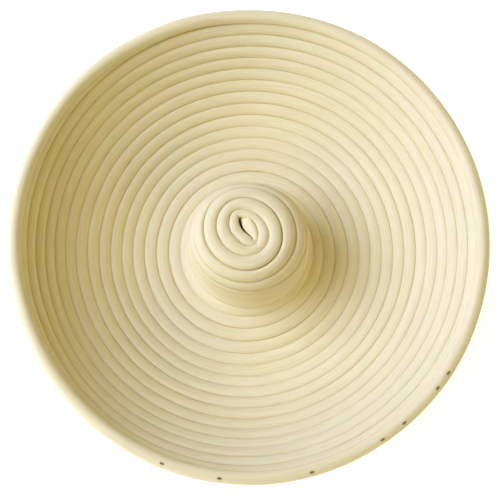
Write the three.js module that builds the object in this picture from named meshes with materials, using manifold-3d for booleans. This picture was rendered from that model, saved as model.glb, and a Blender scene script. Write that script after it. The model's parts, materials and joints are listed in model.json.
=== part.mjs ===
import * as THREE from 'three';
import Module from 'manifold-3d';
import { mergeVertices } from 'three/addons/utils/BufferGeometryUtils.js';

// A ring-shaped bread proofing basket. Round rattan cane is coiled from the middle of a raised knob,
// down the knob's side, out over the floor and up a flared wall. The coil is made of several cane
// lengths, cut on the bias where they meet. A separate hoop of cane closes the top. Staples across the
// outside of the grooves hold the ends of the lengths, and brads hold the hoop down on the coil.
// Millimetres, +Z up, standing on Z = 0, with the origin under the centre of the basket's outline.
// A place on the coil is given in turns: 0 is a turn of the floor, and the coil runs clockwise outwards.

const wasm = await Module();
wasm.setup();

const PITCH = 8;                  // centre of one turn to centre of the next
const CANE = 7.4;                 // the cane across the flats of its eight-sided section
const SIDES = 8;
const STEPS_PER_TURN = 20;
const FLOOR_RADIUS = 45.75;       // centre line of the first floor turn, turn FLOOR_TURN
const FLOOR_TURN = -1;
const END_GAP = 0.8;              // left between two cane ends
const BIAS = 0.7;                 // length of a bias cut over the cane's thickness
const CUT_GAP = 0.3;              // round a staple or brad in its hole

// The basket is coiled by hand, and its top turns drift from true round. At DRIFT.full the wall is
// this much further out: towards +X, towards +Y, along both X ends, and along both diagonal ends.
// It drifts without opening the grooves, so where it is further out it is lower.
const DRIFT = { start: 10, full: 14.2, x: 2.7, y: 0.8, oval: -1.35, diagonal: -0.4 };

// The coil in section. From turn to turn it goes at this slope in degrees, and the turns are this
// many pitches apart. The knob slopes down outwards, the floor is level and the wall rises.
const PROFILE = [
  { turn: -12, slope: 0, spacing: 1.05 },
  { turn: -9.5, slope: -3, spacing: 1.08 },
  { turn: -9, slope: -26, spacing: 1.12 },
  { turn: -8.5, slope: -43, spacing: 1.12 },
  { turn: -8, slope: -62, spacing: 1.12 },
  { turn: -7.5, slope: -82, spacing: 1.08 },
  { turn: -7, slope: -85, spacing: 1.02 },
  { turn: -5, slope: -87, spacing: 1 },
  { turn: -3, slope: -85, spacing: 1 },
  { turn: -2.5, slope: -71, spacing: 1.04 },
  { turn: -2, slope: -50, spacing: 1.08 },
  { turn: -1.5, slope: -32, spacing: 1.13 },
  { turn: -1.02, slope: 0, spacing: 1.15 },
  { turn: -1, slope: 0, spacing: 1.08 },
  { turn: 1.5, slope: 0, spacing: 1.027 },
  { turn: 4.5, slope: 29.8, spacing: 1.016 },
  { turn: 7.5, slope: 32.1, spacing: 1.016 },
  { turn: 10.5, slope: 49.3, spacing: 1.016 },
  { turn: 15, slope: 58, spacing: 1.016 },
];

// The knob is not true either. Its turns lie this far off the basket's centre, and they are longer by
// the oval at both X ends and shorter by it at both Y ends.
const KNOB_FORM = [
  { turn: -12, x: 0.7, y: 3, oval: 0 },
  { turn: -9.5, x: 1, y: 2.3, oval: 0 },
  { turn: -8.75, x: 1, y: 1.9, oval: 0.2 },
  { turn: -8, x: 1.5, y: 1, oval: 1 },
  { turn: -7.25, x: 1.8, y: 0.4, oval: 1.5 },
  { turn: -5, x: 1.3, y: 0.3, oval: 0.8 },
  { turn: -2.5, x: 0.7, y: 0.8, oval: 0 },
  { turn: -1.5, x: 0.3, y: 0.6, oval: 0 },
  { turn: 0, x: 0, y: 0, oval: 0 },
];

// The middle of the coil is an oval: its first leg lies straight beside a slot, and the turns round
// the slot start pulled apart along it and grow round.
const HEART = {
  start: -12.45,                  // turn at the cane's thin end
  legEnd: -12.1,                  // the straight leg ends and the first bend begins
  bendEnd: -11.85,
  halfSlot: 0.92 * PITCH,
  slotAzimuth: THREE.MathUtils.degToRad(-55),
  legOffset: 0.4 * PITCH,
  bendRadius: 0.27 * PITCH,
  corner: 0.35,                   // roundness of the ovals' long sides
  round: -9.2,                    // from here on the coil is round
};

// Where one cane length ends and the next begins, in turns, from the middle outwards.
const CANES = [
  { name: 'heart_cane', start: HEART.start, end: -6.15 },
  { name: 'knob_cane_upper', start: -6.15, end: -4.15 },
  { name: 'knob_cane_lower', start: -4.15, end: -2.2 },
  { name: 'floor_cane_inner', start: -2.2, end: 0.75 },
  { name: 'floor_cane_middle', start: 0.75, end: 2.25 },
  { name: 'floor_cane_outer', start: 2.25, end: 3.8 },
  { name: 'wall_cane_foot', start: 3.8, end: 5.6 },
  { name: 'wall_cane_lower', start: 5.6, end: 7.75 },
  { name: 'wall_cane_middle', start: 7.75, end: 9.85 },
  { name: 'wall_cane_upper', start: 9.85, end: 11.75 },
  { name: 'wall_cane_last', start: 11.75, end: 13.75 },
];
const LAST_TURN = 13;             // from here on the cane is shaved to fill what the hoop leaves
const TAPER_TIP = 0.06;           // thickness left at the tip, as a part of the cane's
const TAPER_GAP = 0.04;           // left between the shaved turn and the hoop, in pitches

// The hoop rides on the coil's top edge. This is how far round the outline, clockwise from +X, it
// lies at which turn of the profile: it drops where the last turn tapers out.
const HOOP_LINE = [
  { round: 0, turn: 14.03 },
  { round: 0.125, turn: 14.16 },
  { round: 0.25, turn: 14.28 },
  { round: 0.375, turn: 14.38 },
  { round: 0.5, turn: 14.41 },
  { round: 0.6, turn: 14.28 },
  { round: 0.69, turn: 13.97 },
  { round: 0.76, turn: 13.82 },
  { round: 0.875, turn: 13.91 },
];
const HOOP_SET_IN = { all: 2.05, x: 0.53, y: -0.36 };  // how far in from the wall's line it sits
const HOOP_JOINT = 0.4;           // where its two ends meet, round the outline
const HOOP_STEPS = 40;

const STAPLE = { crown: 4.8, leg: 4.6, wire: 0.6, width: 1.1, sunk: 0.35 };
const STAPLE_FROM_END = 9;        // a staple stands this far along from a cane's end
const BRAD = { head: 2.8, headThick: 0.7, shank: 1.1, long: 12.5, width: 1.1, sunk: 0.1 };
const BRADS_CLOSE = [35, 39.3, 50.4, 56.6, 74.3, 95.4, 109];  // degrees clockwise from +X
const BRADS_SPREAD = { after: 113.4, count: 12, spacing: 19, scatter: 3 };  // the others, in degrees

const CANE_LOOK = { color: 0xe9dfbd, roughness: 0.62, metalness: 0 };
const WIRE_LOOK = { color: 0x77736a, roughness: 0.42, metalness: 0.85 };

// Value of a key between the rows of a table that rises in another key, straight from row to row.
function between(rows, along, key, at) {
  if (at <= rows[0][along]) return rows[0][key];
  for (let i = 1; i < rows.length; i++) {
    const low = rows[i - 1];
    const high = rows[i];
    if (at <= high[along]) {
      const part = (at - low[along]) / (high[along] - low[along]);
      return low[key] + part * (high[key] - low[key]);
    }
  }
  return rows[rows.length - 1][key];
}

// The coil's section, walked in small steps from the middle out: radius and height at each turn.
const WALK_STEP = 0.01;
const walked = walkProfile();

function walkProfile() {
  const first = PROFILE[0].turn - 1;
  const count = Math.round((PROFILE[PROFILE.length - 1].turn - first) / WALK_STEP);
  const rows = [{ turn: first, radius: 0, height: 0 }];
  for (let i = 1; i <= count; i++) {
    const middle = first + (i - 0.5) * WALK_STEP;
    const slope = slopeAt(middle);
    const step = between(PROFILE, 'turn', 'spacing', middle) * PITCH * WALK_STEP;
    const last = rows[i - 1];
    rows.push({
      turn: first + i * WALK_STEP,
      radius: last.radius + step * Math.cos(slope),
      height: last.height + step * Math.sin(slope),
    });
  }
  const anchor = rows[Math.round((FLOOR_TURN - first) / WALK_STEP)];
  const { radius, height } = anchor;
  for (const row of rows) {
    row.radius += FLOOR_RADIUS - radius;
    row.height += CANE / 2 - height;
  }
  return rows;
}

function slopeAt(turn) {
  return THREE.MathUtils.degToRad(between(PROFILE, 'turn', 'slope', turn));
}

function walkedAt(turn) {
  const place = (turn - walked[0].turn) / WALK_STEP;
  const low = walked[Math.floor(place)];
  const high = walked[Math.floor(place) + 1];
  const part = place - Math.floor(place);
  return {
    radius: low.radius + part * (high.radius - low.radius),
    height: low.height + part * (high.height - low.height),
  };
}

// How far the coil's turns lie off the centre, and how oval they are.
function formAt(turn) {
  const [x, y, oval] = ['x', 'y', 'oval'].map((key) => between(KNOB_FORM, 'turn', key, turn));
  return { x, y, oval };
}

// How far out the top turns drift at an azimuth.
function driftAt(turn, azimuth) {
  const growth = Math.max(0, (turn - DRIFT.start) / (DRIFT.full - DRIFT.start)) ** 2;
  const shift = DRIFT.x * Math.cos(azimuth) + DRIFT.y * Math.sin(azimuth);
  const oval = DRIFT.oval * Math.cos(2 * azimuth) + DRIFT.diagonal * Math.sin(2 * azimuth);
  return growth * (shift + oval);
}

// A point at a turn of the profile and a place round the outline, in turns clockwise from +X.
function pointAt(turn, round) {
  const azimuth = -2 * Math.PI * round;
  const { radius, height } = walkedAt(turn);
  const { x, y, oval } = formAt(turn);
  const drift = driftAt(turn, azimuth);
  const lowered = drift === 0 ? 0 : drift / Math.tan(slopeAt(turn));
  const out = radius + drift;
  return new THREE.Vector3(
    (out + oval) * Math.cos(azimuth) + x,
    (out - oval) * Math.sin(azimuth) + y,
    height - lowered,
  );
}

// A frame on the basket at that point, with along (clockwise), across (towards the next turn) and
// face (towards the side that the dough lies on).
function frameAt(turn, round) {
  const azimuth = -2 * Math.PI * round;
  const along = new THREE.Vector3(Math.sin(azimuth), -Math.cos(azimuth), 0);
  const across = pointAt(turn + WALK_STEP, round).sub(pointAt(turn - WALK_STEP, round));
  across.addScaledVector(along, -across.dot(along)).normalize();
  const face = along.clone().cross(across);
  return { point: pointAt(turn, round), along, across, face };
}

// The oval heart, as a shift of the round spiral. The slot's own axes are u, along it, and v.
function heartFrame(turn) {
  const { radius, height } = walkedAt(turn);
  const azimuth = -2 * Math.PI * turn - HEART.slotAzimuth;
  const pull = HEART.halfSlot * (Math.exp(HEART.bendEnd - turn) - Math.exp(HEART.bendEnd - HEART.round));
  let u;
  let v;
  let direction;
  if (turn < HEART.legEnd) {
    const part = (turn - HEART.start) / (HEART.legEnd - HEART.start);
    u = HEART.halfSlot * (2 * part - 1);
    v = HEART.legOffset;
    direction = Math.PI / 2;
  } else if (turn < HEART.bendEnd) {
    const part = (turn - HEART.legEnd) / (HEART.bendEnd - HEART.legEnd);
    direction = (1 - part) * Math.PI / 2;
    u = HEART.halfSlot + HEART.bendRadius * Math.cos(direction);
    v = HEART.legOffset * Math.sin(direction);
  } else {
    const cos = Math.cos(azimuth);
    const roundness = Math.sqrt((1 + HEART.corner ** 2) / (cos * cos + HEART.corner ** 2));
    u = pull * cos * roundness + radius * cos;
    v = radius * Math.sin(azimuth);
    direction = azimuth;
  }
  const axis = HEART.slotAzimuth;
  const form = formAt(turn);
  const x = u * Math.cos(axis) - v * Math.sin(axis);
  const y = u * Math.sin(axis) + v * Math.cos(axis);
  const across = new THREE.Vector3(Math.cos(direction + axis), Math.sin(direction + axis), 0);
  const face = new THREE.Vector3(0, 0, 1);
  return {
    point: new THREE.Vector3(x + form.x, y + form.y, height),
    along: across.clone().cross(face),
    across,
    face,
  };
}

function coilFrame(turn) {
  return turn < HEART.round ? heartFrame(turn) : frameAt(turn, turn);
}

// How thick the cane is across and through the face, as parts of the full cane. It is shaved thin
// where it starts and bends hard at the heart.
const KNOB_WIDTH = [
  { turn: -12.45, width: 0.35 },
  { turn: -12.1, width: 0.72 },
  { turn: -11.85, width: 0.42 },
  { turn: -11.6, width: 0.86 },
  { turn: -11.35, width: 0.66 },
  { turn: -10.85, width: 0.66 },
  { turn: -10.6, width: 0.86 },
  { turn: -9.6, width: 0.92 },
  { turn: -9, width: 0.95 },
  { turn: -8, width: 0.96 },
  { turn: -7.4, width: 1 },
];

function coilWidth(turn) {
  if (turn > LAST_TURN) return THREE.MathUtils.clamp(hoopTurn(turn) - turn - TAPER_GAP, TAPER_TIP, 1);
  return between(KNOB_WIDTH, 'turn', 'width', turn);
}

// A thinned cane keeps more of its depth through the face. The last turn is shaved on its outer side,
// so its centre line moves towards the turn before it.
function coilStation(turn) {
  const frame = coilFrame(turn);
  const width = coilWidth(turn);
  if (turn > FLOOR_TURN) frame.point.addScaledVector(frame.across, (width - 1) * CANE / 2);
  return { ...frame, width, depth: (1 + width) / 2 };
}

// The hoop's turn of the profile at a place round the outline, on a smooth closed line.
function hoopTurn(round) {
  const count = HOOP_LINE.length;
  const place = ((round % 1) + 1) % 1;
  let i = count - 1;
  while (i > 0 && HOOP_LINE[i].round > place) i--;
  const low = HOOP_LINE[i];
  const high = HOOP_LINE[(i + 1) % count];
  const span = (high.round - low.round + 1) % 1;
  const part = (place - low.round) / span;
  const ease = (1 - Math.cos(Math.PI * part)) / 2;
  return low.turn + (high.turn - low.turn) * ease;
}

// The hoop sits in from the wall's line, as far from the turn below it as it would be on that line.
function hoopStation(round) {
  const azimuth = -2 * Math.PI * round;
  const turn = hoopTurn(round);
  const below = pointAt(turn - 1, round);
  const step = pointAt(turn, round).sub(below);
  const apart = step.lengthSq();
  const { all, x, y } = HOOP_SET_IN;
  const setIn = all + x * Math.cos(azimuth) + y * Math.sin(azimuth);
  step.x -= setIn * Math.cos(azimuth);
  step.y -= setIn * Math.sin(azimuth);
  step.z = Math.sqrt(apart - step.x ** 2 - step.y ** 2);
  const along = new THREE.Vector3(Math.sin(azimuth), -Math.cos(azimuth), 0);
  const across = step.clone().addScaledVector(along, -step.dot(along)).normalize();
  const face = along.clone().cross(across);
  return { point: below.add(step), along, across, face, width: 1, depth: 1 };
}

// A cane's centre line from one place to another. Its stations are evenly spaced in turns, so the
// flats of neighbouring canes lie side by side. Both ends are cut on the bias.
class CaneLine extends THREE.Curve {
  constructor(station, start, end, biasStart, biasEnd) {
    super();
    Object.assign(this, { station, start, end, biasStart, biasEnd });
  }

  stationAt(part) {
    return this.station(this.start + part * (this.end - this.start));
  }

  getPoint(part) {
    const { point, along } = this.stationAt(part);
    if (part === 0) return point.addScaledVector(along, END_GAP / 2);
    if (part === 1) return point.addScaledVector(along, -END_GAP / 2);
    return point;
  }

  getSpacedPoints(count) {
    return this.getPoints(count);
  }

  computeFrenetFrames(count) {
    const frames = { tangents: [], normals: [], binormals: [] };
    for (let i = 0; i <= count; i++) {
      const { along, across, face, width, depth } = this.stationAt(i / count);
      const bias = (i === 0 && this.biasStart) || (i === count && this.biasEnd) ? BIAS : 0;
      frames.tangents.push(along);
      frames.normals.push(across.multiplyScalar(width).addScaledVector(along, bias * width));
      frames.binormals.push(face.multiplyScalar(depth));
    }
    return frames;
  }
}

// The cane's section, with flats towards its neighbours and towards the table.
function caneSection() {
  const corner = CANE / 2 / Math.cos(Math.PI / SIDES);
  const points = [];
  for (let i = 0; i < SIDES; i++) {
    const angle = (i + 0.5) * 2 * Math.PI / SIDES;
    points.push(new THREE.Vector2(corner * Math.cos(angle), corner * Math.sin(angle)));
  }
  return new THREE.Shape(points);
}

function caneGeometry(line, steps) {
  return new THREE.ExtrudeGeometry(caneSection(), { steps, extrudePath: line });
}

// A staple or a brad is a flat outline, x and y, with the wire's width in z about the middle. The
// outline grows by a gap on every side for the hole that it sits in.
function outlineSolid(points, width, gap) {
  const shape = new THREE.Shape(points.map(([x, y]) => new THREE.Vector2(x, y)));
  const depth = width + 2 * gap;
  const geometry = new THREE.ExtrudeGeometry(shape, { depth, bevelEnabled: false });
  return geometry.translate(0, 0, -depth / 2);
}

// Crown along x, legs up in y, the crown's outer side at y = 0.
function stapleSolid(gap) {
  const { crown, leg, wire, width } = STAPLE;
  const out = crown / 2 + gap;
  const inner = crown / 2 - wire - gap;
  return outlineSolid([
    [-out, -gap], [out, -gap], [out, leg + gap], [inner, leg + gap],
    [inner, wire + gap], [-inner, wire + gap], [-inner, leg + gap], [-out, leg + gap],
  ], width, gap);
}

// Head across x at y = 0, shank down to y = -long.
function bradSolid(gap) {
  const { head, headThick, shank, long, width } = BRAD;
  const half = head / 2 + gap;
  const stem = shank / 2 + gap;
  return outlineSolid([
    [-stem, -long - gap], [stem, -long - gap], [stem, -headThick - gap], [half, -headThick - gap],
    [half, gap], [-half, gap], [-half, -headThick - gap], [-stem, -headThick - gap],
  ], width, gap);
}

// Staples across the groove inside a cane end, on the outer side: x across, y towards the face.
function staplePlaces() {
  const places = [];
  for (const cane of CANES.slice(1)) {
    for (const side of [-1, 1]) {
      const groove = cane.start - 0.5;
      const { radius } = walkedAt(groove);
      const round = cane.start + side * STAPLE_FROM_END / (2 * Math.PI * radius);
      const { point, across, face } = frameAt(groove, round);
      const depth = CANE / 2 - STAPLE.sunk;
      point.addScaledVector(face, -depth);
      places.push({ point, x: across, y: face });
    }
  }
  return places;
}

// Brads through the hoop into the turn below it: x along the hoop, y out of it.
function bradPlaces() {
  const degrees = [...BRADS_CLOSE];
  const { after, count, spacing, scatter } = BRADS_SPREAD;
  for (let i = 1; i <= count; i++) degrees.push(after + i * spacing + scatter * Math.sin(5 * i));
  return degrees.map((degree) => {
    const { point, along, across } = hoopStation(degree / 360);
    point.addScaledVector(across, CANE / 2 - BRAD.sunk);
    return { point, x: along, y: across };
  });
}

function matrixAt({ point, x, y }) {
  return new THREE.Matrix4().makeBasis(x, y, x.clone().cross(y)).setPosition(point);
}

function toManifold(geometry) {
  const plain = geometry.clone();
  plain.deleteAttribute('normal');
  plain.deleteAttribute('uv');
  const merged = mergeVertices(plain, 1e-4);
  const vertProperties = new Float32Array(merged.attributes.position.array);
  const triVerts = new Uint32Array(merged.index.array);
  return new wasm.Manifold(new wasm.Mesh({ numProp: 3, vertProperties, triVerts }));
}

function toGeometry(manifold) {
  const { vertProperties, triVerts } = manifold.getMesh();
  const geometry = new THREE.BufferGeometry();
  geometry.setAttribute('position', new THREE.BufferAttribute(vertProperties, 3));
  geometry.setIndex(new THREE.BufferAttribute(triVerts, 1));
  return geometry;
}

// Takes the holes out of a cane, wherever one of them reaches it.
function withHoles(geometry, holes) {
  const box = new THREE.Box3().setFromBufferAttribute(geometry.attributes.position);
  const near = holes.filter((hole) => box.intersectsBox(hole.box));
  if (near.length === 0) return geometry;
  let solid = toManifold(geometry);
  for (const hole of near) solid = solid.subtract(hole.solid);
  return toGeometry(solid);
}

function holeAt(place, cutter) {
  const geometry = cutter.clone().applyMatrix4(matrixAt(place));
  const box = new THREE.Box3().setFromBufferAttribute(geometry.attributes.position);
  return { box, solid: toManifold(geometry) };
}

function addMesh(group, name, geometry, look) {
  const mesh = new THREE.Mesh(geometry, new THREE.MeshStandardMaterial(look));
  mesh.name = name;
  group.add(mesh);
  return mesh;
}

function addCanes(group, holes) {
  CANES.forEach(({ name, start, end }, i) => {
    const line = new CaneLine(coilStation, start, end, i > 0, i < CANES.length - 1);
    const steps = Math.round((end - start) * STEPS_PER_TURN);
    addMesh(group, name, withHoles(caneGeometry(line, steps), holes), CANE_LOOK);
  });
}

function addHoop(group, holes) {
  const line = new CaneLine(hoopStation, HOOP_JOINT, HOOP_JOINT + 1, true, true);
  addMesh(group, 'rim_hoop', withHoles(caneGeometry(line, HOOP_STEPS), holes), CANE_LOOK);
}

function addFasteners(group, prefix, places, solid) {
  places.forEach((place, i) => {
    const mesh = addMesh(group, `${prefix}_${String(i + 1).padStart(2, '0')}`, solid, WIRE_LOOK);
    mesh.applyMatrix4(matrixAt(place));
  });
}

function makeBasket() {
  const group = new THREE.Group();
  const staples = staplePlaces();
  const brads = bradPlaces();
  const stapleHoles = staples.map((place) => holeAt(place, stapleSolid(CUT_GAP)));
  const bradHoles = brads.map((place) => holeAt(place, bradSolid(CUT_GAP)));
  addCanes(group, [...stapleHoles, ...bradHoles]);
  addHoop(group, bradHoles);
  addFasteners(group, 'staple', staples, stapleSolid(0));
  addFasteners(group, 'brad', brads, bradSolid(0));
  const box = new THREE.Box3().setFromObject(group, true);
  const middle = box.getCenter(new THREE.Vector3());
  group.position.set(-middle.x, -middle.y, -box.min.z);
  return group;
}

export default makeBasket();
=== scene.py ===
import json
import math

import bpy
import numpy as np
from mathutils import Matrix, Vector

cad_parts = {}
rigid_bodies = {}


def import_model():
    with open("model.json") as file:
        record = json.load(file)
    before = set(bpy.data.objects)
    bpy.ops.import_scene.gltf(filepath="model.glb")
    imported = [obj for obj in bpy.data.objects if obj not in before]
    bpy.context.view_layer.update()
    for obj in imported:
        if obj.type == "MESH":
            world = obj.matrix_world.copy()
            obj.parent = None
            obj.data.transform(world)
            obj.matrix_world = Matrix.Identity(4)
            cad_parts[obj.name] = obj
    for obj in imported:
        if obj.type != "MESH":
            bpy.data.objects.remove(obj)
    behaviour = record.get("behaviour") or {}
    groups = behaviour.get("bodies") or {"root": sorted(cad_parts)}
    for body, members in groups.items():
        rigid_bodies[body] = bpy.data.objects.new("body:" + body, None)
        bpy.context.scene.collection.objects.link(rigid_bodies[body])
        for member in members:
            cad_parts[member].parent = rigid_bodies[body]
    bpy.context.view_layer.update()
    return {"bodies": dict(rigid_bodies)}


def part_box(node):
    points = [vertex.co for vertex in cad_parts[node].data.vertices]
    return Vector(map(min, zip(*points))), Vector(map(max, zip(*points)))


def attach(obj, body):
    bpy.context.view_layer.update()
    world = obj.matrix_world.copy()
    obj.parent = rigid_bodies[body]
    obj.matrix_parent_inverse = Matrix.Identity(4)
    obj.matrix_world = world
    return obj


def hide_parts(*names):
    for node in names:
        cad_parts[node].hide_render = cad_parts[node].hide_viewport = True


# A ring-shaped bread proofing basket of coiled rattan cane. The CAD canes are plain eight-sided
# bars, and each is replaced here by round cane with grain, on the same coil. Lengths in the coil's
# own functions are in millimetres, in the coil's frame; place() turns them into the row frame.

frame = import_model()
BODY = list(frame["bodies"])[0]  # the only one, as nothing moves

MM = 0.001
SEED = 7

# ---------------------------------------------------------------- the coil, as in the CAD part

PITCH = 8.0            # centre of one turn to centre of the next
CAD_CANE = 7.4         # the CAD cane across its flats
CAD_SIDES = 8
CAD_HOOP_RINGS = 41
FLOOR_RADIUS = 45.75   # of the coil at FLOOR_TURN, which lies on the table
FLOOR_TURN = -1.0
# towards these turns the top of the wall grows out of round: shifted to X and Y, and oval along X and on
# the diagonal
DRIFT_START, DRIFT_FULL = 10.0, 14.2
DRIFT_X, DRIFT_Y, DRIFT_OVAL, DRIFT_DIAGONAL = 2.7, 0.8, -1.35, -0.4
WALK_STEP = 0.01       # in turns
DIRECTION_STEP = 0.004  # in turns, to either side, for the direction of the coil
HALF_ROOM = (3.95, 4.5)  # least and most half width on the floor and wall, before the last turn tapers

# turn, slope in degrees, spacing in pitches
PROFILE = np.array([
    (-12, 0, 1.05), (-9.5, -3, 1.08), (-9, -26, 1.12), (-8.5, -43, 1.12), (-8, -62, 1.12),
    (-7.5, -82, 1.08), (-7, -85, 1.02), (-5, -87, 1), (-3, -85, 1), (-2.5, -71, 1.04),
    (-2, -50, 1.08), (-1.5, -32, 1.13), (-1.02, 0, 1.15), (-1, 0, 1.08), (1.5, 0, 1.027),
    (4.5, 29.8, 1.016), (7.5, 32.1, 1.016), (10.5, 49.3, 1.016), (15, 58, 1.016),
])
# How far the knob's turns lie off the centre, and how much longer they are along X: turn, x, y, oval.
KNOB_FORM = np.array([
    (-12, 0.7, 3.0, 0), (-9.5, 1.0, 2.3, 0), (-8.75, 1.0, 1.9, 0.2), (-8, 1.5, 1.0, 1.0),
    (-7.25, 1.8, 0.4, 1.5), (-5, 1.3, 0.3, 0.8), (-2.5, 0.7, 0.8, 0), (-1.5, 0.3, 0.6, 0), (0, 0, 0, 0),
])

HEART_START = -12.45
# The cane's line from its thin end round the slot and once past it: turn, x and y of its middle and
# its half width, in heart units from the slot's middle.
HEART_LINE = np.array([
    (-12.45, -0.38, 0.88, 0.12), (-12.38, -0.25, 0.77, 0.23), (-12.29, -0.06, 0.59, 0.35),
    (-12.20, 0.16, 0.28, 0.43), (-12.12, 0.44, -0.08, 0.41), (-12.05, 0.61, -0.36, 0.345),
    (-11.97, 0.71, -0.64, 0.25), (-11.91, 0.69, -0.83, 0.20), (-11.85, 0.60, -0.97, 0.20),
    (-11.80, 0.42, -1.02, 0.26), (-11.73, 0.05, -0.86, 0.37), (-11.63, -0.46, -0.47, 0.37),
    (-11.54, -0.72, -0.17, 0.38), (-11.47, -0.89, 0.20, 0.38), (-11.42, -0.94, 0.60, 0.34),
    (-11.375, -0.86, 0.93, 0.31), (-11.33, -0.67, 1.12, 0.285), (-11.29, -0.36, 1.15, 0.29),
    (-11.25, -0.02, 1.09, 0.33), (-11.19, 0.36, 0.99, 0.33), (-11.125, 0.725, 0.725, 0.325),
    (-11.055, 1.02, 0.37, 0.36), (-11.0, 1.20, 0.0, 0.40), (-10.945, 1.29, -0.47, 0.415),
    (-10.89, 1.185, -0.99, 0.385), (-10.85, 0.95, -1.355, 0.33),
])
# The groove outside the cane from there on: turn and distance from the slot's middle.
HEART_GROOVE = np.array([
    (-11.85, 1.33), (-11.75, 1.25), (-11.667, 1.08), (-11.625, 1.03), (-11.58, 1.07), (-11.5, 1.25),
    (-11.42, 1.47), (-11.375, 1.57), (-11.33, 1.58), (-11.25, 1.42), (-11.19, 1.37), (-11.125, 1.35),
    (-11.04, 1.47), (-11.0, 1.60), (-10.92, 1.87), (-10.83, 2.0), (-10.75, 2.0), (-10.667, 1.98),
    (-10.58, 2.05), (-10.5, 2.2), (-10.42, 2.33), (-10.33, 2.37), (-10.25, 2.3), (-10.19, 2.25),
    (-10.125, 2.3), (-10.04, 2.47), (-10.0, 2.58), (-9.92, 2.83), (-9.83, 2.98), (-9.75, 3.0),
    (-9.667, 2.98), (-9.58, 3.05), (-9.5, 3.15), (-9.33, 3.28), (-9.25, 3.22), (-9.125, 3.35),
    (-9.0, 3.6), (-8.92, 3.87), (-8.83, 4.0),
])
HEART_UNIT = np.array([8.26, 8.46])
HEART_MIDDLE = np.array([0.67, 2.96])
GROOVE_FROM = -10.85       # from here each turn fills the room between the grooves beside it,
GROOVE_TO = 0.5            # and from here on it follows the profile
HEART_BLEND = (-9.6, -9.0)  # the heart's own grooves give way to the profile's over these turns

# CAD node, first turn, last turn
CANES = [
    ("heart_cane", HEART_START, -6.15),
    ("knob_cane_upper", -6.15, -4.15),
    ("knob_cane_lower", -4.15, -2.2),
    ("floor_cane_inner", -2.2, 0.75),
    ("floor_cane_middle", 0.75, 2.25),
    ("floor_cane_outer", 2.25, 3.8),
    ("wall_cane_foot", 3.8, 5.6),
    ("wall_cane_lower", 5.6, 7.75),
    ("wall_cane_middle", 7.75, 9.85),
    ("wall_cane_upper", 9.85, 11.75),
    ("wall_cane_last", 11.75, 13.75),
]
LAST_TURN = 13.0           # from here on the cane is shaved to fill what the hoop leaves
TAPER_TIP = 0.06

# round the outline clockwise from +X, turn of the profile
HOOP_LINE = np.array([
    (0, 14.03), (0.125, 14.16), (0.25, 14.28), (0.375, 14.38), (0.5, 14.41),
    (0.6, 14.28), (0.69, 13.97), (0.76, 13.82), (0.875, 13.91), (1, 14.03),
])
HOOP_JOINT = 0.4
# the hoop sits this far in from the wall's line: all round, more towards +X, more towards +Y
HOOP_SET_IN = (2.05, 0.53, -0.36)

STAPLE_CROWN, STAPLE_LEG, STAPLE_WIRE, STAPLE_WIDTH, STAPLE_SUNK = 4.8, 4.6, 0.6, 1.1, 0.35
STAPLE_FROM_END = 9.0
BRAD_HEAD, BRAD_HEAD_THICK, BRAD_SHANK, BRAD_LONG, BRAD_WIDTH = 2.8, 0.7, 1.1, 12.5, 1.1
BRADS_CLOSE = [35, 39.3, 50.4, 56.6, 74.3, 95.4, 109]  # degrees clockwise from +X
BRADS_SPREAD_AFTER, BRADS_SPREAD_COUNT, BRADS_SPACING, BRADS_SCATTER = 113.4, 12, 19, 3
BRAD_SUNK = 0.02           # the heads' outer faces lie this far inside the cane's radius
BRADS_DRIVEN_IN = 0.35     # and the spread brads' this much further, under the hoop's surface
STAIN_RADIUS = 1.0         # of the dark stain round each of the close brads


def walk_profile():
    first = PROFILE[0, 0] - 1
    turns = np.arange(first, PROFILE[-1, 0] + WALK_STEP / 2, WALK_STEP)
    middles = (turns[1:] + turns[:-1]) / 2
    slopes = np.radians(np.interp(middles, PROFILE[:, 0], PROFILE[:, 1]))
    steps = np.interp(middles, PROFILE[:, 0], PROFILE[:, 2]) * PITCH * WALK_STEP
    radius = np.concatenate([[0], np.cumsum(steps * np.cos(slopes))])
    height = np.concatenate([[0], np.cumsum(steps * np.sin(slopes))])
    radius += FLOOR_RADIUS - np.interp(FLOOR_TURN, turns, radius)
    height += CAD_CANE / 2 - np.interp(FLOOR_TURN, turns, height)
    return turns, radius, height


WALKED = walk_profile()


def walked_at(turn):
    turns, radius, height = WALKED
    return np.interp(turn, turns, radius), np.interp(turn, turns, height)


def slope_at(turn):
    return np.radians(np.interp(turn, PROFILE[:, 0], PROFILE[:, 1]))


def form_at(turn):
    return (np.interp(turn, KNOB_FORM[:, 0], KNOB_FORM[:, i]) for i in (1, 2, 3))


def drift_at(turn, azimuth):
    growth = np.maximum(0, (turn - DRIFT_START) / (DRIFT_FULL - DRIFT_START)) ** 2
    shift = DRIFT_X * np.cos(azimuth) + DRIFT_Y * np.sin(azimuth)
    oval = DRIFT_OVAL * np.cos(2 * azimuth) + DRIFT_DIAGONAL * np.sin(2 * azimuth)
    return growth * (shift + oval)


def point_at(turn, around):
    azimuth = -2 * np.pi * around
    radius, height = walked_at(turn)
    drift = drift_at(turn, azimuth)
    slope = np.tan(slope_at(turn))
    lowered = np.where(drift == 0, 0, drift / np.where(np.abs(slope) < 1e-6, 1, slope))
    out = radius + drift
    x, y, oval = form_at(turn)
    east, north = (out + oval) * np.cos(azimuth) + x, (out - oval) * np.sin(azimuth) + y
    return np.stack([east, north, height - lowered], -1)


def unit(vectors):
    return vectors / np.linalg.norm(vectors, axis=-1, keepdims=True)


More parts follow.
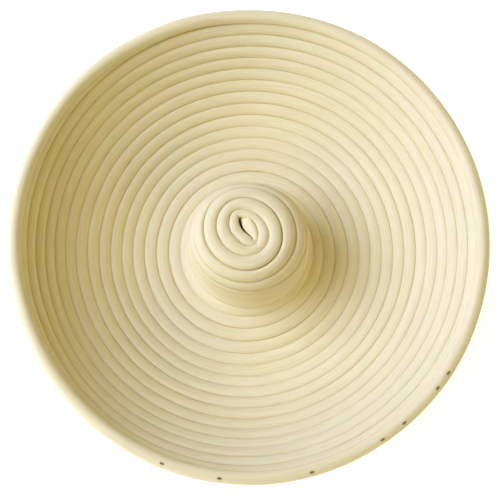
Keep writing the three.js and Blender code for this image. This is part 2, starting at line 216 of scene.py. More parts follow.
def frame_at(turn, around):
    """Point, along (clockwise), across (to the next turn) and face (to the dough) on the basket."""
    azimuth = -2 * np.pi * around
    along = np.stack([np.sin(azimuth), -np.cos(azimuth), np.zeros_like(azimuth)], -1)
    across = point_at(turn + WALK_STEP, around) - point_at(turn - WALK_STEP, around)
    across = unit(across - along * np.sum(across * along, -1, keepdims=True))
    return point_at(turn, around), along, across, np.cross(along, across)


def curve_through(rows, column, at):
    """A smooth line through one column of a table, whose first column is the turn."""
    turn, value = rows[:, 0], rows[:, column]
    slope = np.gradient(value, turn)
    low = np.clip(np.searchsorted(turn, at, side="right") - 1, 0, len(turn) - 2)
    span = turn[low + 1] - turn[low]
    part = np.clip((at - turn[low]) / span, 0, 1)
    rise = value[low + 1] - value[low]
    start, end = slope[low] * span, slope[low + 1] * span
    square, cube = 3 * rise - 2 * start - end, start + end - 2 * rise
    return value[low] + part * (start + part * (square + part * cube))


def heart_middle(turn):
    """Middle of the cane at the heart, along its drawn line."""
    _, height = walked_at(turn)
    flat = np.stack([curve_through(HEART_LINE, 1, turn), curve_through(HEART_LINE, 2, turn)], -1)
    return np.concatenate([flat * HEART_UNIT + HEART_MIDDLE, height[:, None]], -1)


def groove_at(turn):
    """The groove outside a turn of the knob: drawn at the heart, the profile's own further out."""
    angle = -2 * np.pi * turn
    distance = curve_through(HEART_GROOVE, 1, turn)[:, None]
    flat = distance * np.stack([np.cos(angle), np.sin(angle)], -1) * HEART_UNIT + HEART_MIDDLE
    drawn = np.concatenate([flat, walked_at(turn + 0.5)[1][:, None]], -1)
    low, high = HEART_BLEND
    part = np.clip((turn - low) / (high - low), 0, 1)[:, None]
    part = part * part * (3 - 2 * part)
    return drawn * (1 - part) + point_at(turn + 0.5, turn) * part


def coil_middle(turn):
    fitted = (groove_at(turn) + groove_at(turn - 1)) / 2
    on_line, on_knob = (turn < GROOVE_FROM)[:, None], (turn < GROOVE_TO)[:, None]
    return np.where(on_line, heart_middle(turn), np.where(on_knob, fitted, point_at(turn, turn)))


def half_width(turn):
    """Half of the room that a turn has between its neighbours."""
    (r1, h1), (r0, h0) = walked_at(turn + 0.5), walked_at(turn - 0.5)
    room = np.hypot(r1 - r0, h1 - h0) / 2
    room = np.clip(room, *HALF_ROOM)
    left = np.where(turn > LAST_TURN, np.clip(hoop_turn(turn) - turn, TAPER_TIP, 1), 1)
    return room * left


def coil_frame(turn):
    """Point, along, across, face and half width of the coil. It starts as a shaved leg beside a slot,
    takes a tight bend, and goes on in ovals that grow round."""
    point = coil_middle(turn)
    along = unit(coil_middle(turn + DIRECTION_STEP) - coil_middle(turn - DIRECTION_STEP))
    level = np.stack([-along[:, 1], along[:, 0], np.zeros(len(turn))], -1)
    room = groove_at(turn) - groove_at(turn - 1)
    outward = point_at(turn + WALK_STEP, turn) - point_at(turn - WALK_STEP, turn)
    on_line, on_knob = turn < GROOVE_FROM, turn < GROOVE_TO
    across = np.where(on_line[:, None], level, np.where(on_knob[:, None], room, outward))
    across = unit(across - along * np.sum(across * along, -1, keepdims=True))
    drawn = curve_through(HEART_LINE, 3, turn) * HEART_UNIT.mean()
    fitted = np.abs(np.sum(room * across, -1)) / 2
    half = np.where(on_line, drawn, np.where(on_knob, fitted, half_width(turn)))
    return point, along, across, np.cross(along, across), half


def hoop_turn(around):
    place = np.mod(around, 1)
    low = np.clip(np.searchsorted(HOOP_LINE[:, 0], place, side="right") - 1, 0, len(HOOP_LINE) - 2)
    part = (place - HOOP_LINE[low, 0]) / (HOOP_LINE[low + 1, 0] - HOOP_LINE[low, 0])
    ease = (1 - np.cos(np.pi * part)) / 2
    return HOOP_LINE[low, 1] + (HOOP_LINE[low + 1, 1] - HOOP_LINE[low, 1]) * ease


def hoop_frame(around):
    """The hoop's frame. It sits in from the wall's line, as close to the turn below as it can."""
    azimuth = -2 * np.pi * around
    turn = hoop_turn(around)
    below, straight = point_at(turn - 1, around), point_at(turn, around)
    everywhere, to_x, to_y = HOOP_SET_IN
    set_in = everywhere + to_x * np.cos(azimuth) + to_y * np.sin(azimuth)
    step = straight - below
    step[:, 0] -= set_in * np.cos(azimuth)
    step[:, 1] -= set_in * np.sin(azimuth)
    apart = np.sum((straight - below) ** 2, -1)
    step[:, 2] = np.sqrt(apart - np.sum(step[:, :2] ** 2, -1))
    along = np.stack([np.sin(azimuth), -np.cos(azimuth), np.zeros_like(azimuth)], -1)
    across = unit(step - along * np.sum(step * along, -1, keepdims=True))
    return below + step, along, across, np.cross(along, across)


def cad_shift():
    """Where the CAD put the coil's frame: the hoop's box there against its box here."""
    corner = CAD_CANE / 2 / math.cos(math.pi / CAD_SIDES)
    around = HOOP_JOINT + np.linspace(0, 1, CAD_HOOP_RINGS)
    point, _, across, face = hoop_frame(around)
    angles = (np.arange(CAD_SIDES) + 0.5) * 2 * math.pi / CAD_SIDES
    ring = [point + corner * (math.cos(a) * across + math.sin(a) * face) for a in angles]
    ring = np.concatenate(ring)
    low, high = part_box("rim_hoop")
    here = (ring.min(0) + ring.max(0)) / 2
    there = np.array((low + high) / 2) / MM
    return there - here


SHIFT = cad_shift()


def place(points):
    return (points + SHIFT) * MM


# ---------------------------------------------------------------- meshes

CANE_RADIUS = 4.0          # of the finished cane, which touches its neighbours
CANE_SIDES = 26
FULLNESS = 2.1             # 2 is a round section, more is squarer
PRESSED = 1.25             # how much wider than its room a cane would be; its sides are pressed flat
CLOSED = 0.12              # added on each side, so that neighbours meet and no light comes through
END_GAP = 0.06
BIAS = 0.8
TABLE_GAP = 0.02           # the flattened underside stays this far above the table
LEG_TURNS = (HEART_START, -11.93)  # the cane's shaved start
LEG_FLAT = (-0.15, 1.25, 0.42)  # its flat's start and climb, in half depths, and its slope across
HOOP_RINGS = 900
HOOP_INNER = 1.015         # the hoop's half width on its inner side, in half depths
HOOP_OUTER_HALF = 3.9      # and on its outer side, which the heads of the brads stand a little proud of
HOOP_TONE = 0.2
# longest and shortest step between rings, the step as a part of the radius, and the least radius it uses
RING_STEPS = (3.0, 0.45, 0.06, 6.0)
# A cane is uneven by a sum of waves. For each: its length, which varies from half to double, and its size
WAVES = 4
PUSH_WAVE = (90, 0.03)     # to the sides, in millimetres
LIFT_WAVE = (110, 0.10)    # up and down from its face, in millimetres
SWELL_WAVE = (60, 0.010)   # of its depth, as a part of it
CALM_END = 12              # the first two fade out over this length at each end
RINGS_AT_END = 8           # these are kept at least RING_GAP apart, so that none crosses the slanted end
RING_GAP = 0.15
CAP_SCALE, CAP_RISE = 0.97, 0.02  # an end face is a little smaller than the cane, and stands out by this
HOOP_OUTER_SHADE = 0.6      # nothing lies against the hoop's outer edge, so the painted groove shade is weaker there
KNOB_GROOVE_SHADE = 0.76           # the painted groove shade is weaker in the grooves at the top of the knob, and it grows to full over these turns
KNOB_GROOVE_SHADE_TURNS = (-8.2, -6.7)  # and it grows to full over these turns


def smooth_noise(rng, length, width, strength):
    """A sum of slow waves over a distance, repeatable."""
    total = np.zeros_like(length)
    for _ in range(WAVES):
        wave = width * rng.uniform(0.5, 2.0)
        total += np.sin(2 * np.pi * length / wave + rng.uniform(0, 2 * np.pi))
    return strength * total / math.sqrt(WAVES)


def section(angles):
    """How far out the cane's outline lies at these angles, for a half width of 1."""
    cos, sin = np.abs(np.cos(angles)), np.abs(np.sin(angles))
    return (cos ** FULLNESS + sin ** FULLNESS) ** (-1 / FULLNESS)


def new_object(name, vertices, faces, material, smooth=True):
    mesh = bpy.data.meshes.new(name)
    mesh.from_pydata([tuple(v) for v in vertices], [], faces)
    mesh.validate()
    mesh.update()
    if smooth:
        mesh.polygons.foreach_set("use_smooth", [True] * len(mesh.polygons))
    mesh.materials.append(material)
    thing = bpy.data.objects.new(name, mesh)
    bpy.context.scene.collection.objects.link(thing)
    return thing


def add_attribute(mesh, name, kind, values):
    attribute = mesh.attributes.new(name, kind, "POINT")
    key = "vector" if kind == "FLOAT_VECTOR" else "value"
    attribute.data.foreach_set(key, np.asarray(values, np.float32).ravel())


def mark_sharp(mesh, rings):
    """Sharp edges along these rings of vertices."""
    ends = np.zeros(len(mesh.edges) * 2, np.int32)
    mesh.edges.foreach_get("vertices", ends)
    ends = ends.reshape(-1, 2)
    sharp = np.zeros(len(ends), bool)
    for ring in rings:
        sharp |= np.isin(ends, ring).all(1)
    attribute = mesh.attributes.new("sharp_edge", "BOOLEAN", "EDGE")
    attribute.data.foreach_set("value", sharp)


def shave_leg(turn, deep, x, y):
    """Cuts a slanting flat on the leg beside the slot. x is across it and y through its face."""
    first, last = LEG_TURNS
    part = np.clip((turn - first) / (last - first), 0, 1)[:, None]
    on_leg = turn[:, None] < last
    start, climb, slant = LEG_FLAT
    plane = deep[:, None] * (start + climb * np.sqrt(part)) + slant * x
    return np.where(on_leg, np.minimum(y, plane), y)


def cane_rings(stations, rng, turn=None):
    """Rings of points along a cane, a little uneven, and how far along each ring is."""
    point, _, across, face, wide, deep = stations
    steps = np.linalg.norm(np.diff(point, axis=0), axis=1)
    length = np.concatenate([[0], np.cumsum(steps)])
    angles = np.arange(CANE_SIDES) * 2 * np.pi / CANE_SIDES
    fade = np.clip(np.minimum(length, length[-1] - length) / CALM_END, 0, 1)
    push = smooth_noise(rng, length, *PUSH_WAVE) * fade
    lift = smooth_noise(rng, length, *LIFT_WAVE) * fade
    deep = deep * (1 + smooth_noise(rng, length, *SWELL_WAVE))
    free = (np.cos(angles) > 0) & (turn is None)  # only the hoop's outer side has no neighbour
    flattened = np.clip(np.where(free, 1, PRESSED) * section(angles) * np.cos(angles), -1, 1)
    x = push[:, None] + np.where(free, HOOP_OUTER_HALF, wide[:, None] + CLOSED) * flattened
    y = lift[:, None] + deep[:, None] * section(angles) * np.sin(angles)
    if turn is not None:
        y = shave_leg(turn, deep, x, y)
    rings = point[:, None] + x[..., None] * across[:, None] + y[..., None] * face[:, None]
    return rings, x, y, length, angles


def slant_ends(rings, x, along, start_bias, end_bias):
    """Cuts the ends on the bias, and keeps the rings beside them from crossing them."""
    count = len(rings)
    for end, step, bias in ((0, 1, start_bias), (count - 1, -1, end_bias)):
        if not bias:
            continue
        direction = along[end] * step
        rings[end] += direction * END_GAP / 2 + along[end] * bias * x[end][:, None]
        for k in range(1, min(RINGS_AT_END, count // 2)):
            here, nearer = end + step * k, end + step * (k - 1)
            gap = np.sum((rings[here] - rings[nearer]) * direction, -1)
            rings[here] += direction * np.maximum(0, RING_GAP - gap)[:, None]
    return rings


def tube_faces(count):
    faces = []
    for i in range(count - 1):
        low, high = i * CANE_SIDES, (i + 1) * CANE_SIDES
        for k in range(CANE_SIDES):
            j = (k + 1) % CANE_SIDES
            faces.append((low + k, high + k, high + j, low + j))
    return faces


def cap_parts(rings, along):
    """Points and faces that close both ends with a slightly broken edge, and what each point copies."""
    count = len(rings)
    points, faces, copies = [], [], []
    base = count * CANE_SIDES
    for end, sign in ((0, -1), (count - 1, 1)):
        centre = rings[end].mean(0)
        start = base + len(copies)
        points += [centre + (p - centre) * CAP_SCALE + along[end] * sign * CAP_RISE for p in rings[end]]
        points.append(centre + along[end] * sign * CAP_RISE)
        copies += [end * CANE_SIDES + k for k in range(CANE_SIDES)] + [end * CANE_SIDES]
        hub = start + CANE_SIDES
        for k in range(CANE_SIDES):
            j = (k + 1) % CANE_SIDES
            ring = end * CANE_SIDES
            side = (ring + k, ring + j, start + j, start + k)
            face = (start + k, start + j, hub)
            faces += [side, face] if sign < 0 else [side[::-1], face[::-1]]
    return np.array(points), faces, copies


def cane_mesh(name, stations, rng, bias, tone, turn=None, stains=None):
    """One length of cane. stations is (point, along, across, face, half width, half depth)."""
    along = stations[1]
    rings, x, y, length, angles = cane_rings(stations, rng, turn)
    rings = slant_ends(rings, x, along, *bias)
    rings[..., 2] = np.maximum(rings[..., 2], TABLE_GAP - SHIFT[2])
    count = len(rings)
    extra, cap_faces, copies = cap_parts(rings, along)
    vertices = np.concatenate([rings.reshape(-1, 3), extra])
    thing = new_object(name, place(vertices), tube_faces(count) + cap_faces, RATTAN)

    def spread(values, cap_value=None):
        flat = np.ascontiguousarray(values).reshape(count * CANE_SIDES, -1)
        end = flat[copies] if cap_value is None else np.full((len(copies), flat.shape[1]), cap_value)
        return np.concatenate([flat, end])

    sized = (count, CANE_SIDES)
    far = np.broadcast_to((length + rng.uniform(0, 500))[:, None], sized)
    grain = np.stack([x, y, far], -1)
    # side is 1 where a cane touches its neighbour: the mask for the painted groove shade
    outward = np.cos(angles) * (HOOP_OUTER_SHADE if turn is None else 1)
    side = np.broadcast_to(np.where(outward > 0, outward, -np.cos(angles)), sized)
    if turn is not None:
        side = side * np.interp(turn, KNOB_GROOVE_SHADE_TURNS, (KNOB_GROOVE_SHADE, 1))[:, None]
    stain = np.zeros(sized) if stains is None else stains(rings)
    add_attribute(thing.data, "grain", "FLOAT_VECTOR", spread(grain))
    add_attribute(thing.data, "side", "FLOAT", spread(side))
    add_attribute(thing.data, "tone", "FLOAT", np.full(len(vertices), tone))
    add_attribute(thing.data, "stain", "FLOAT", spread(stain))
    add_attribute(thing.data, "cut", "FLOAT", spread(np.zeros(sized), 1.0))
    first = np.arange(CANE_SIDES)
    mark_sharp(thing.data, [first, first + (count - 1) * CANE_SIDES])
    return thing


def coil_stations(first, last):
    longest, shortest, part_of_radius, least_radius = RING_STEPS
    turns = [first]
    while turns[-1] < last:
        radius = float(walked_at(turns[-1])[0])
        step = min(longest, max(shortest, part_of_radius * radius))
        turns.append(turns[-1] + step / (2 * math.pi * max(radius, least_radius)))
    turn = first + (np.array(turns) - first) * (last - first) / (turns[-1] - first)
    point, along, across, face, half = coil_frame(turn)
    moved = np.where(turn > LAST_TURN, half - CANE_RADIUS, 0)  # the taper stays against the turn below
    point = point + across * moved[:, None]
    return turn, (point, along, across, face, half, (CANE_RADIUS + half) / 2)


def hoop_stations():
    around = HOOP_JOINT + np.linspace(0, 1, HOOP_RINGS)
    point, along, across, face = hoop_frame(around)
    full = np.full(HOOP_RINGS, CANE_RADIUS)
    return point, along, across, face, full * HOOP_INNER, full


# ---------------------------------------------------------------- materials

def ramp(tree, factor, stops):
    """A colour for each value of the factor, from (position, colour) stops."""
    made = tree.nodes.new("ShaderNodeValToRGB")
    elements = made.color_ramp.elements
    while len(elements) < len(stops):
        elements.new(0.5)
    for element, (position, colour) in zip(elements, stops):
        element.position = position
        element.color = (*colour, 1)
    tree.links.new(factor, made.inputs["Fac"])
    return made.outputs["Color"]


def mix(tree, factor, low, high, kind="MIX"):
    made = tree.nodes.new("ShaderNodeMix")
    made.data_type = "RGBA"
    made.blend_type = kind
    for socket, value in ((made.inputs[0], factor), (made.inputs[6], low), (made.inputs[7], high)):
        if isinstance(value, bpy.types.NodeSocket):
            tree.links.new(value, socket)
        elif isinstance(value, tuple):
            socket.default_value = (*value, 1)
        else:
            socket.default_value = value
    return made.outputs[2]


def maths(tree, operation, *values):
    made = tree.nodes.new("ShaderNodeMath")
    made.operation = operation
    for socket, value in zip(made.inputs, values):
        if isinstance(value, bpy.types.NodeSocket):
            tree.links.new(value, socket)
        else:
            socket.default_value = value
    return made.outputs[0]


def attribute(tree, name, output="Fac"):
    made = tree.nodes.new("ShaderNodeAttribute")
    made.attribute_type = "GEOMETRY"
    made.attribute_name = name
    return made.outputs[output]


def noise(tree, vector, scale, stretch, detail, roughness=0.55, offset=0.0):
    """Noise over a vector. The cane's is its grain: across it in x and y, and along it in z."""
    mapping = tree.nodes.new("ShaderNodeMapping")
    mapping.inputs["Scale"].default_value = stretch
    mapping.inputs["Location"].default_value = (offset, offset * 0.7, offset * 1.3)
    tree.links.new(vector, mapping.inputs["Vector"])
    made = tree.nodes.new("ShaderNodeTexNoise")
    made.inputs["Scale"].default_value = scale
    made.inputs["Detail"].default_value = detail
    made.inputs["Roughness"].default_value = roughness
    tree.links.new(mapping.outputs["Vector"], made.inputs["Vector"])
    return made.outputs["Fac"]


def new_material(name):
    material = bpy.data.materials.new(name)
    material.use_nodes = True
    tree = material.node_tree
    tree.nodes.clear()
    shader = tree.nodes.new("ShaderNodeBsdfPrincipled")
    output = tree.nodes.new("ShaderNodeOutputMaterial")
    tree.links.new(shader.outputs["BSDF"], output.inputs["Surface"])
    return material, tree, shader


PALE = (0.86, 0.80, 0.65)
PINK = (0.87, 0.795, 0.66)
GREEN = (0.84, 0.81, 0.64)
OCHRE = (0.78, 0.62, 0.34)
# painted shade: the ochre-brown of the grooves between turns, where the cane lies in shade
GROOVE_SHADE = (0.74, 0.50, 0.13)
CUT_FACE = (0.86, 0.76, 0.60)
STAIN = (0.30, 0.20, 0.08)
PORE = (0.50, 0.36, 0.16)
TINT_AMOUNT, TONE_AMOUNT, PORE_AMOUNT, CUT_AMOUNT, STAIN_AMOUNT = 0.16, 0.10, 0.22, 0.7, 0.8
# how the painted groove shade comes in towards a cane's sides, and its strength: least, and more in patches
GROOVE_SHADE_RAMP = [(0.70, (0, 0, 0)), (0.80, (0.75, 0.75, 0.75)), (0.88, (1, 1, 1))]
GROOVE_SHADE_AMOUNT = (0.50, 0.7)


def rattan_wood(tree, grain, fibres, pore):
    """The cane's own colour: slow changes of hue, fine streaks along it, and dark pores."""
    slow = noise(tree, grain, 0.05, (1.2, 1.2, 0.30), 2.0)
    hue = ramp(tree, slow, [(0.30, GREEN), (0.48, PALE), (0.66, PINK)])
    cloud = noise(tree, grain, 0.10, (1, 1, 0.10), 3.0, 0.6, 31)
    tint = ramp(tree, cloud, [(0.35, (0, 0, 0)), (0.72, (1, 1, 1))])
    base = mix(tree, maths(tree, "MULTIPLY", tint, TINT_AMOUNT), hue, OCHRE)
    base = mix(tree, maths(tree, "MULTIPLY", attribute(tree, "tone"), TONE_AMOUNT), base, OCHRE)
    streak = ramp(tree, fibres, [(0.33, (0.90, 0.88, 0.83)), (0.50, (1, 1, 1)), (0.70, (1.03, 1.03, 1.04))])
    base = mix(tree, 1.0, base, streak, "MULTIPLY")
    return mix(tree, maths(tree, "MULTIPLY", pore, PORE_AMOUNT), base, PORE)


def rattan_groove_shade_and_marks(tree, grain, base):
    """Painted shade darkens the cane where two turns touch, more in some places than in others.
    Cut ends are fresh, and the cane is stained round some of the brads."""
    patch = noise(tree, grain, 0.12, (0.4, 0.4, 0.25), 3.0, 0.6, 17)
    edge = ramp(tree, attribute(tree, "side"), GROOVE_SHADE_RAMP)
    least, more = GROOVE_SHADE_AMOUNT
    strength = maths(tree, "ADD", least, maths(tree, "MULTIPLY", patch, more))
    # painted shade in the grooves where two turns touch
    base = mix(tree, maths(tree, "MULTIPLY", edge, strength), base, GROOVE_SHADE)
    base = mix(tree, maths(tree, "MULTIPLY", attribute(tree, "cut"), CUT_AMOUNT), base, CUT_FACE)
    return mix(tree, maths(tree, "MULTIPLY", attribute(tree, "stain"), STAIN_AMOUNT), base, STAIN)


def add_bump(tree, shader, height, strength, distance):
    bump = tree.nodes.new("ShaderNodeBump")
    bump.inputs["Strength"].default_value = strength
    bump.inputs["Distance"].default_value = distance
    tree.links.new(height, bump.inputs["Height"])
    tree.links.new(bump.outputs["Normal"], shader.inputs["Normal"])


def rattan_material():
    material, tree, shader = new_material("rattan_cane")
    grain = attribute(tree, "grain", "Vector")
    fibres = noise(tree, grain, 2.2, (1, 1, 0.018), 4.0, 0.65, 5)
    pores = noise(tree, grain, 3.4, (1, 1, 0.16), 1.0, 0.5, 11)
    pore = ramp(tree, pores, [(0.70, (0, 0, 0)), (0.80, (1, 1, 1))])

    base = rattan_groove_shade_and_marks(tree, grain, rattan_wood(tree, grain, fibres, pore))
    tree.links.new(base, shader.inputs["Base Color"])
    rough = ramp(tree, fibres, [(0.3, (0.66, 0.66, 0.66)), (0.7, (0.5, 0.5, 0.5))])
    tree.links.new(rough, shader.inputs["Roughness"])
    shader.inputs["Specular IOR Level"].default_value = 0.32

    coarse = noise(tree, grain, 0.6, (1, 1, 0.05), 3.0, 0.5, 23)
    height = maths(tree, "ADD", maths(tree, "MULTIPLY", fibres, 0.6), maths(tree, "MULTIPLY", coarse, 0.8))
    height = maths(tree, "SUBTRACT", height, maths(tree, "MULTIPLY", pore, 0.25))
    add_bump(tree, shader, height, 0.35, 0.0002)
    return material


def wire_material():
    material, tree, shader = new_material("steel_wire_dull")
    coords = tree.nodes.new("ShaderNodeTexCoord").outputs["Object"]
    cloud = noise(tree, coords, 900, (1, 1, 1), 4.0, 0.6)
    base = ramp(tree, cloud, [
        (0.35, (0.10, 0.075, 0.045)), (0.55, (0.24, 0.22, 0.19)), (0.75, (0.36, 0.34, 0.31)),
    ])
    rough = ramp(tree, cloud, [(0.3, (0.62, 0.62, 0.62)), (0.7, (0.36, 0.36, 0.36))])
    tree.links.new(base, shader.inputs["Base Color"])
    tree.links.new(rough, shader.inputs["Roughness"])
    shader.inputs["Metallic"].default_value = 0.8
    add_bump(tree, shader, cloud, 0.3, 0.00005)
    return material


RATTAN = rattan_material()
WIRE = wire_material()


# ---------------------------------------------------------------- canes

def add_cane(cad_node, thing):
    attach(thing, BODY)
    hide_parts(cad_node)


def add_canes():
    rng = np.random.default_rng(SEED)
    for i, (cad_node, first, last) in enumerate(CANES):
        bias = (BIAS if i > 0 else 0, BIAS if i < len(CANES) - 1 else 0)
        turn, stations = coil_stations(first, last)
        tone = rng.uniform(0, 1)
        name = f"{cad_node}_rattan"
        add_cane(cad_node, cane_mesh(name, stations, rng, bias, tone, turn=turn))
    hoop = cane_mesh("rim_hoop_rattan", hoop_stations(), rng, (BIAS, BIAS), HOOP_TONE, stains=brad_stains)
    add_cane("rim_hoop", hoop)


def brad_stains(rings):
    """How dark the cane is stained round each of the close brads, from 0 to 1."""
    amount = np.zeros(rings.shape[:2])
    for point, _, _ in brad_places()[:len(BRADS_CLOSE)]:
        far = np.linalg.norm(rings - point, axis=-1)
        amount = np.maximum(amount, np.exp(-(far / STAIN_RADIUS) ** 2))
    return amount


# ---------------------------------------------------------------- fasteners

def stack_faces(rings, size, base=0):
    """Faces that join rings of equally many points, the lowest first, and close both ends."""
    faces = []
    for i in range(rings - 1):
        low, high = base + i * size, base + (i + 1) * size
        for k in range(size):
            j = (k + 1) % size
            faces.append((low + k, low + j, high + j, high + k))
    top = base + (rings - 1) * size
    faces.append(tuple(base + k for k in range(size))[::-1])
    faces.append(tuple(top + k for k in range(size)))
    return faces


def wire_solid(path, wide, thick):
    """A flat wire swept along a path in the x-y plane, wide in z, with its corners broken.
    Returns vertices and faces."""
    path = np.array(path, float)
    tangents = np.gradient(path, axis=0)
    tangents = tangents / np.linalg.norm(tangents, axis=1, keepdims=True)
    normals = np.stack([-tangents[:, 1], tangents[:, 0]], -1)
    half_thick, half_wide = thick / 2, wide / 2
    corner = 0.3 * half_thick
    outline = []
    for sx, sz in ((1, 1), (-1, 1), (-1, -1), (1, -1)):
        first = (sx * half_thick, sz * (half_wide - corner))
        second = (sx * (half_thick - corner), sz * half_wide)
        outline += [first, second] if sx * sz > 0 else [second, first]
    vertices = []
    for p, n in zip(path, normals):
        for across, deep in outline:
            vertices.append((p[0] + n[0] * across, p[1] + n[1] * across, deep))
    return np.array(vertices), stack_faces(len(path), len(outline))


STAPLE_BEND, BEND_STEPS = 0.55, 6


def staple_solid():
    """Crown along x at y 0, legs up in y, bent round small corners."""
    half = (STAPLE_CROWN - STAPLE_WIRE) / 2
    middle = STAPLE_WIRE / 2 + STAPLE_BEND
    path = [(-half, STAPLE_LEG), (-half, STAPLE_LEG * 0.5)]
    for side, start in ((-1, math.pi), (1, 1.5 * math.pi)):
        for k in range(BEND_STEPS + 1):
            a = start + k / BEND_STEPS * math.pi / 2
            x = side * (half - STAPLE_BEND) + STAPLE_BEND * math.cos(a)
            path.append((x, middle + STAPLE_BEND * math.sin(a)))
    path += [(half, STAPLE_LEG * 0.5), (half, STAPLE_LEG)]
    return wire_solid(path, STAPLE_WIDTH, STAPLE_WIRE)


HEAD_SIDES, SHANK_SIDES = 24, 10
# height and size of the rings of a brad's head, which is rounded at its outer edge, and of its shank
HEAD_ROWS = [
    (-BRAD_HEAD_THICK, 0.86), (-BRAD_HEAD_THICK * 0.8, 1.0), (-0.16, 1.0), (-0.05, 0.86), (0.0, 0.6),
]
SHANK_ROWS = [(-BRAD_LONG, 0.15), (-BRAD_LONG * 0.93, 1.0), (-BRAD_HEAD_THICK * 0.5, 1.0)]


def brad_solid():
    """A small T-headed brad: its head lies along x at y 0 with rounded ends, and its shank is down."""
    half, deep, radius = BRAD_HEAD / 2, BRAD_WIDTH / 2, BRAD_SHANK / 2
    vertices = []
    for y, scale in HEAD_ROWS:
        inset = (1 - scale) * deep
        for k in range(HEAD_SIDES):
            a = 2 * math.pi * k / HEAD_SIDES
            x = (half - deep) * math.copysign(1, math.cos(a)) + deep * math.cos(a)
            vertices.append((x - math.copysign(inset, x), y, deep * math.sin(a) * scale))
    base = len(vertices)
    for y, scale in SHANK_ROWS:
        for k in range(SHANK_SIDES):
            a = 2 * math.pi * k / SHANK_SIDES
            vertices.append((radius * scale * math.cos(a), y, radius * scale * math.sin(a)))
    faces = stack_faces(len(HEAD_ROWS), HEAD_SIDES)
    faces += stack_faces(len(SHANK_ROWS), SHANK_SIDES, base)
    return np.array(vertices), faces


def put(solid, point, x, y):
    """A solid's vertices in the row frame, from its own x and y axes at a point of the coil."""
    vertices, faces = solid
    z = np.cross(x, y)
    turned = point + vertices[:, :1] * x + vertices[:, 1:2] * y + vertices[:, 2:] * z
    return place(turned), faces


def on_coil(turn, around):
    point, along, across, face = frame_at(np.array([turn]), np.array([around]))
    return point[0], along[0], across[0], face[0]


def staple_places():
    places = []
    for _, start, _ in CANES[1:]:
        for side in (-1, 1):
            groove = start - 0.5
            radius = float(walked_at(np.array([groove]))[0][0])
            around = start + side * STAPLE_FROM_END / (2 * math.pi * radius)
            point, _, across, face = on_coil(groove, around)
            places.append((point - face * (CAD_CANE / 2 - STAPLE_SUNK), across, face))
    return places


def brad_places():
    degrees = list(BRADS_CLOSE)
    for i in range(1, BRADS_SPREAD_COUNT + 1):
        degrees.append(BRADS_SPREAD_AFTER + i * BRADS_SPACING + BRADS_SCATTER * math.sin(5 * i))
    places = []
    for i, degree in enumerate(degrees):
        point, along, across, _ = (v[0] for v in hoop_frame(np.array([degree / 360])))
        deeper = 0 if i < len(BRADS_CLOSE) else BRADS_DRIVEN_IN
        places.append((point + across * (CANE_RADIUS - BRAD_SUNK - deeper), along, across))
    return places


def add_fasteners():
    for prefix, places, solid in (("staple", staple_places(), staple_solid()),
                                  ("brad", brad_places(), brad_solid())):
        for i, (point, x, y) in enumerate(places):
            name = f"{prefix}_{i + 1:02d}"
            vertices, faces = put(solid, point, x, y)
            thing = new_object(f"{name}_wire", vertices, faces, WIRE, smooth=False)
            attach(thing, BODY)
            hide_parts(name)


# ---------------------------------------------------------------- stage, light and camera

FLOOR_HALF = 4.0
FLOOR_GLOW = 0.9
FLOOR_FADE = (0.08, 0.19)  # no glow nearer to the middle than the first, full glow past the second
WORLD_COLOUR = (1.0, 0.97, 0.93)
WORLD_GLOW = 0.9           # at and below the horizon, where it meets the pale floor
WORLD_ABOVE = 0.02         # and overhead
WORLD_FADE = (0.07, 0.20)  # from one to the other between these heights, where 1 is straight up
FILL = (1.0, 0.79, 0.08)
FILL_PALE = (1.0, 0.88, 0.42)
LIGHT_AIM = (0, 0, 0.02)
# name, place, size, watts, colour
LIGHTS = [
    ("key_window", (-1.15, 0.25, 1.15), (1.3, 1.3), 30, (0.82, 0.88, 1.0)),
    ("fill_front_left", (-0.9, -0.9, 1.0), (1.2, 1.2), 7.2, FILL_PALE),
    ("fill_front_right", (0.9, -0.9, 1.0), (1.2, 1.2), 5.0, FILL),
    ("fill_back_right", (0.9, 0.9, 1.0), (1.2, 1.2), 5.2, FILL),
]


def add_stage():
    mesh = bpy.data.meshes.new("studio_floor")
    half = FLOOR_HALF
    corners = [(-half, -half, 0), (half, -half, 0), (half, half, 0), (-half, half, 0)]
    mesh.from_pydata(corners, [], [(0, 1, 2, 3)])
    floor = bpy.data.objects.new("studio_floor", mesh)
    bpy.context.scene.collection.objects.link(floor)
    material, tree, shader = new_material("studio_white")
    shader.inputs["Base Color"].default_value = (0.9, 0.9, 0.9, 1)
    shader.inputs["Roughness"].default_value = 0.9
    shader.inputs["Emission Color"].default_value = (1, 1, 1, 1)
    # it glows round the basket and is dark under it
    coords = tree.nodes.new("ShaderNodeTexCoord").outputs["Object"]
    distance = tree.nodes.new("ShaderNodeVectorMath")
    distance.operation = "LENGTH"
    tree.links.new(coords, distance.inputs[0])
    ring = tree.nodes.new("ShaderNodeMapRange")
    ring.interpolation_type = "SMOOTHSTEP"
    near, far = FLOOR_FADE
    for key, value in (("From Min", near), ("From Max", far), ("To Max", FLOOR_GLOW)):
        ring.inputs[key].default_value = value
    tree.links.new(distance.outputs["Value"], ring.inputs["Value"])
    tree.links.new(ring.outputs["Result"], shader.inputs["Emission Strength"])
    mesh.materials.append(material)


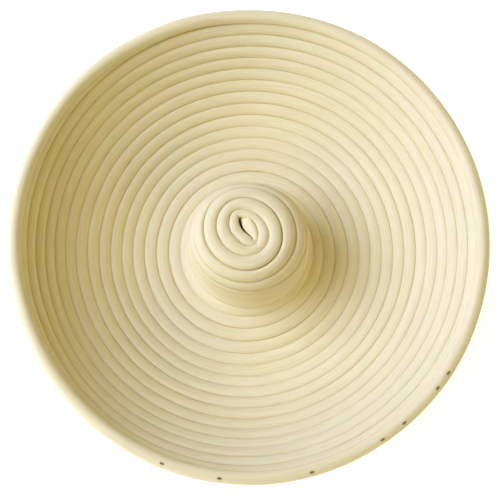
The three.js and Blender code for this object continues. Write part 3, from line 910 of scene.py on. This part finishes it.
def add_light(name, location, size, power, colour):
    data = bpy.data.lights.new(name, "AREA")
    data.shape = "RECTANGLE"
    data.size, data.size_y = size
    data.energy = power
    data.color = colour
    light = bpy.data.objects.new(name, data)
    light.location = location
    direction = Vector(LIGHT_AIM) - Vector(location)
    light.rotation_euler = direction.to_track_quat("-Z", "Y").to_euler()
    bpy.context.scene.collection.objects.link(light)


def add_world():
    world = bpy.data.worlds.new("studio_world")
    bpy.context.scene.world = world
    world.use_nodes = True
    tree = world.node_tree
    background = tree.nodes["Background"]
    background.inputs["Color"].default_value = (*WORLD_COLOUR, 1)
    split = tree.nodes.new("ShaderNodeSeparateXYZ")
    tree.links.new(tree.nodes.new("ShaderNodeTexCoord").outputs["Generated"], split.inputs[0])
    fade = tree.nodes.new("ShaderNodeMapRange")
    fade.interpolation_type = "SMOOTHSTEP"
    low, high = WORLD_FADE
    limits = (("From Min", low), ("From Max", high), ("To Min", WORLD_GLOW), ("To Max", WORLD_ABOVE))
    for key, value in limits:
        fade.inputs[key].default_value = value
    tree.links.new(split.outputs["Z"], fade.inputs["Value"])
    tree.links.new(fade.outputs["Result"], background.inputs["Strength"])


CAMERA_PLACE = np.array([22.89, -119.96, 619.23])  # in the coil's frame
CAMERA_TILT = (math.radians(-11.34), math.radians(-2.02))  # about X, then about Y
CAMERA_LENS = 66.45


def add_camera():
    data = bpy.data.cameras.new("camera")
    data.sensor_width = 36
    data.lens = CAMERA_LENS
    data.clip_start, data.clip_end = 0.01, 20
    camera = bpy.data.objects.new("camera", data)
    about_x, about_y = CAMERA_TILT
    turn = (Matrix.Rotation(about_y, 3, "Y") @ Matrix.Rotation(about_x, 3, "X")).transposed()
    camera.matrix_world = Matrix.Translation(Vector(place(CAMERA_PLACE))) @ turn.to_4x4()
    bpy.context.scene.collection.objects.link(camera)
    bpy.context.scene.camera = camera


add_canes()
add_fasteners()
add_stage()
add_world()
for light in LIGHTS:
    add_light(*light)
add_camera()
bpy.context.scene.view_settings.view_transform = "Standard"
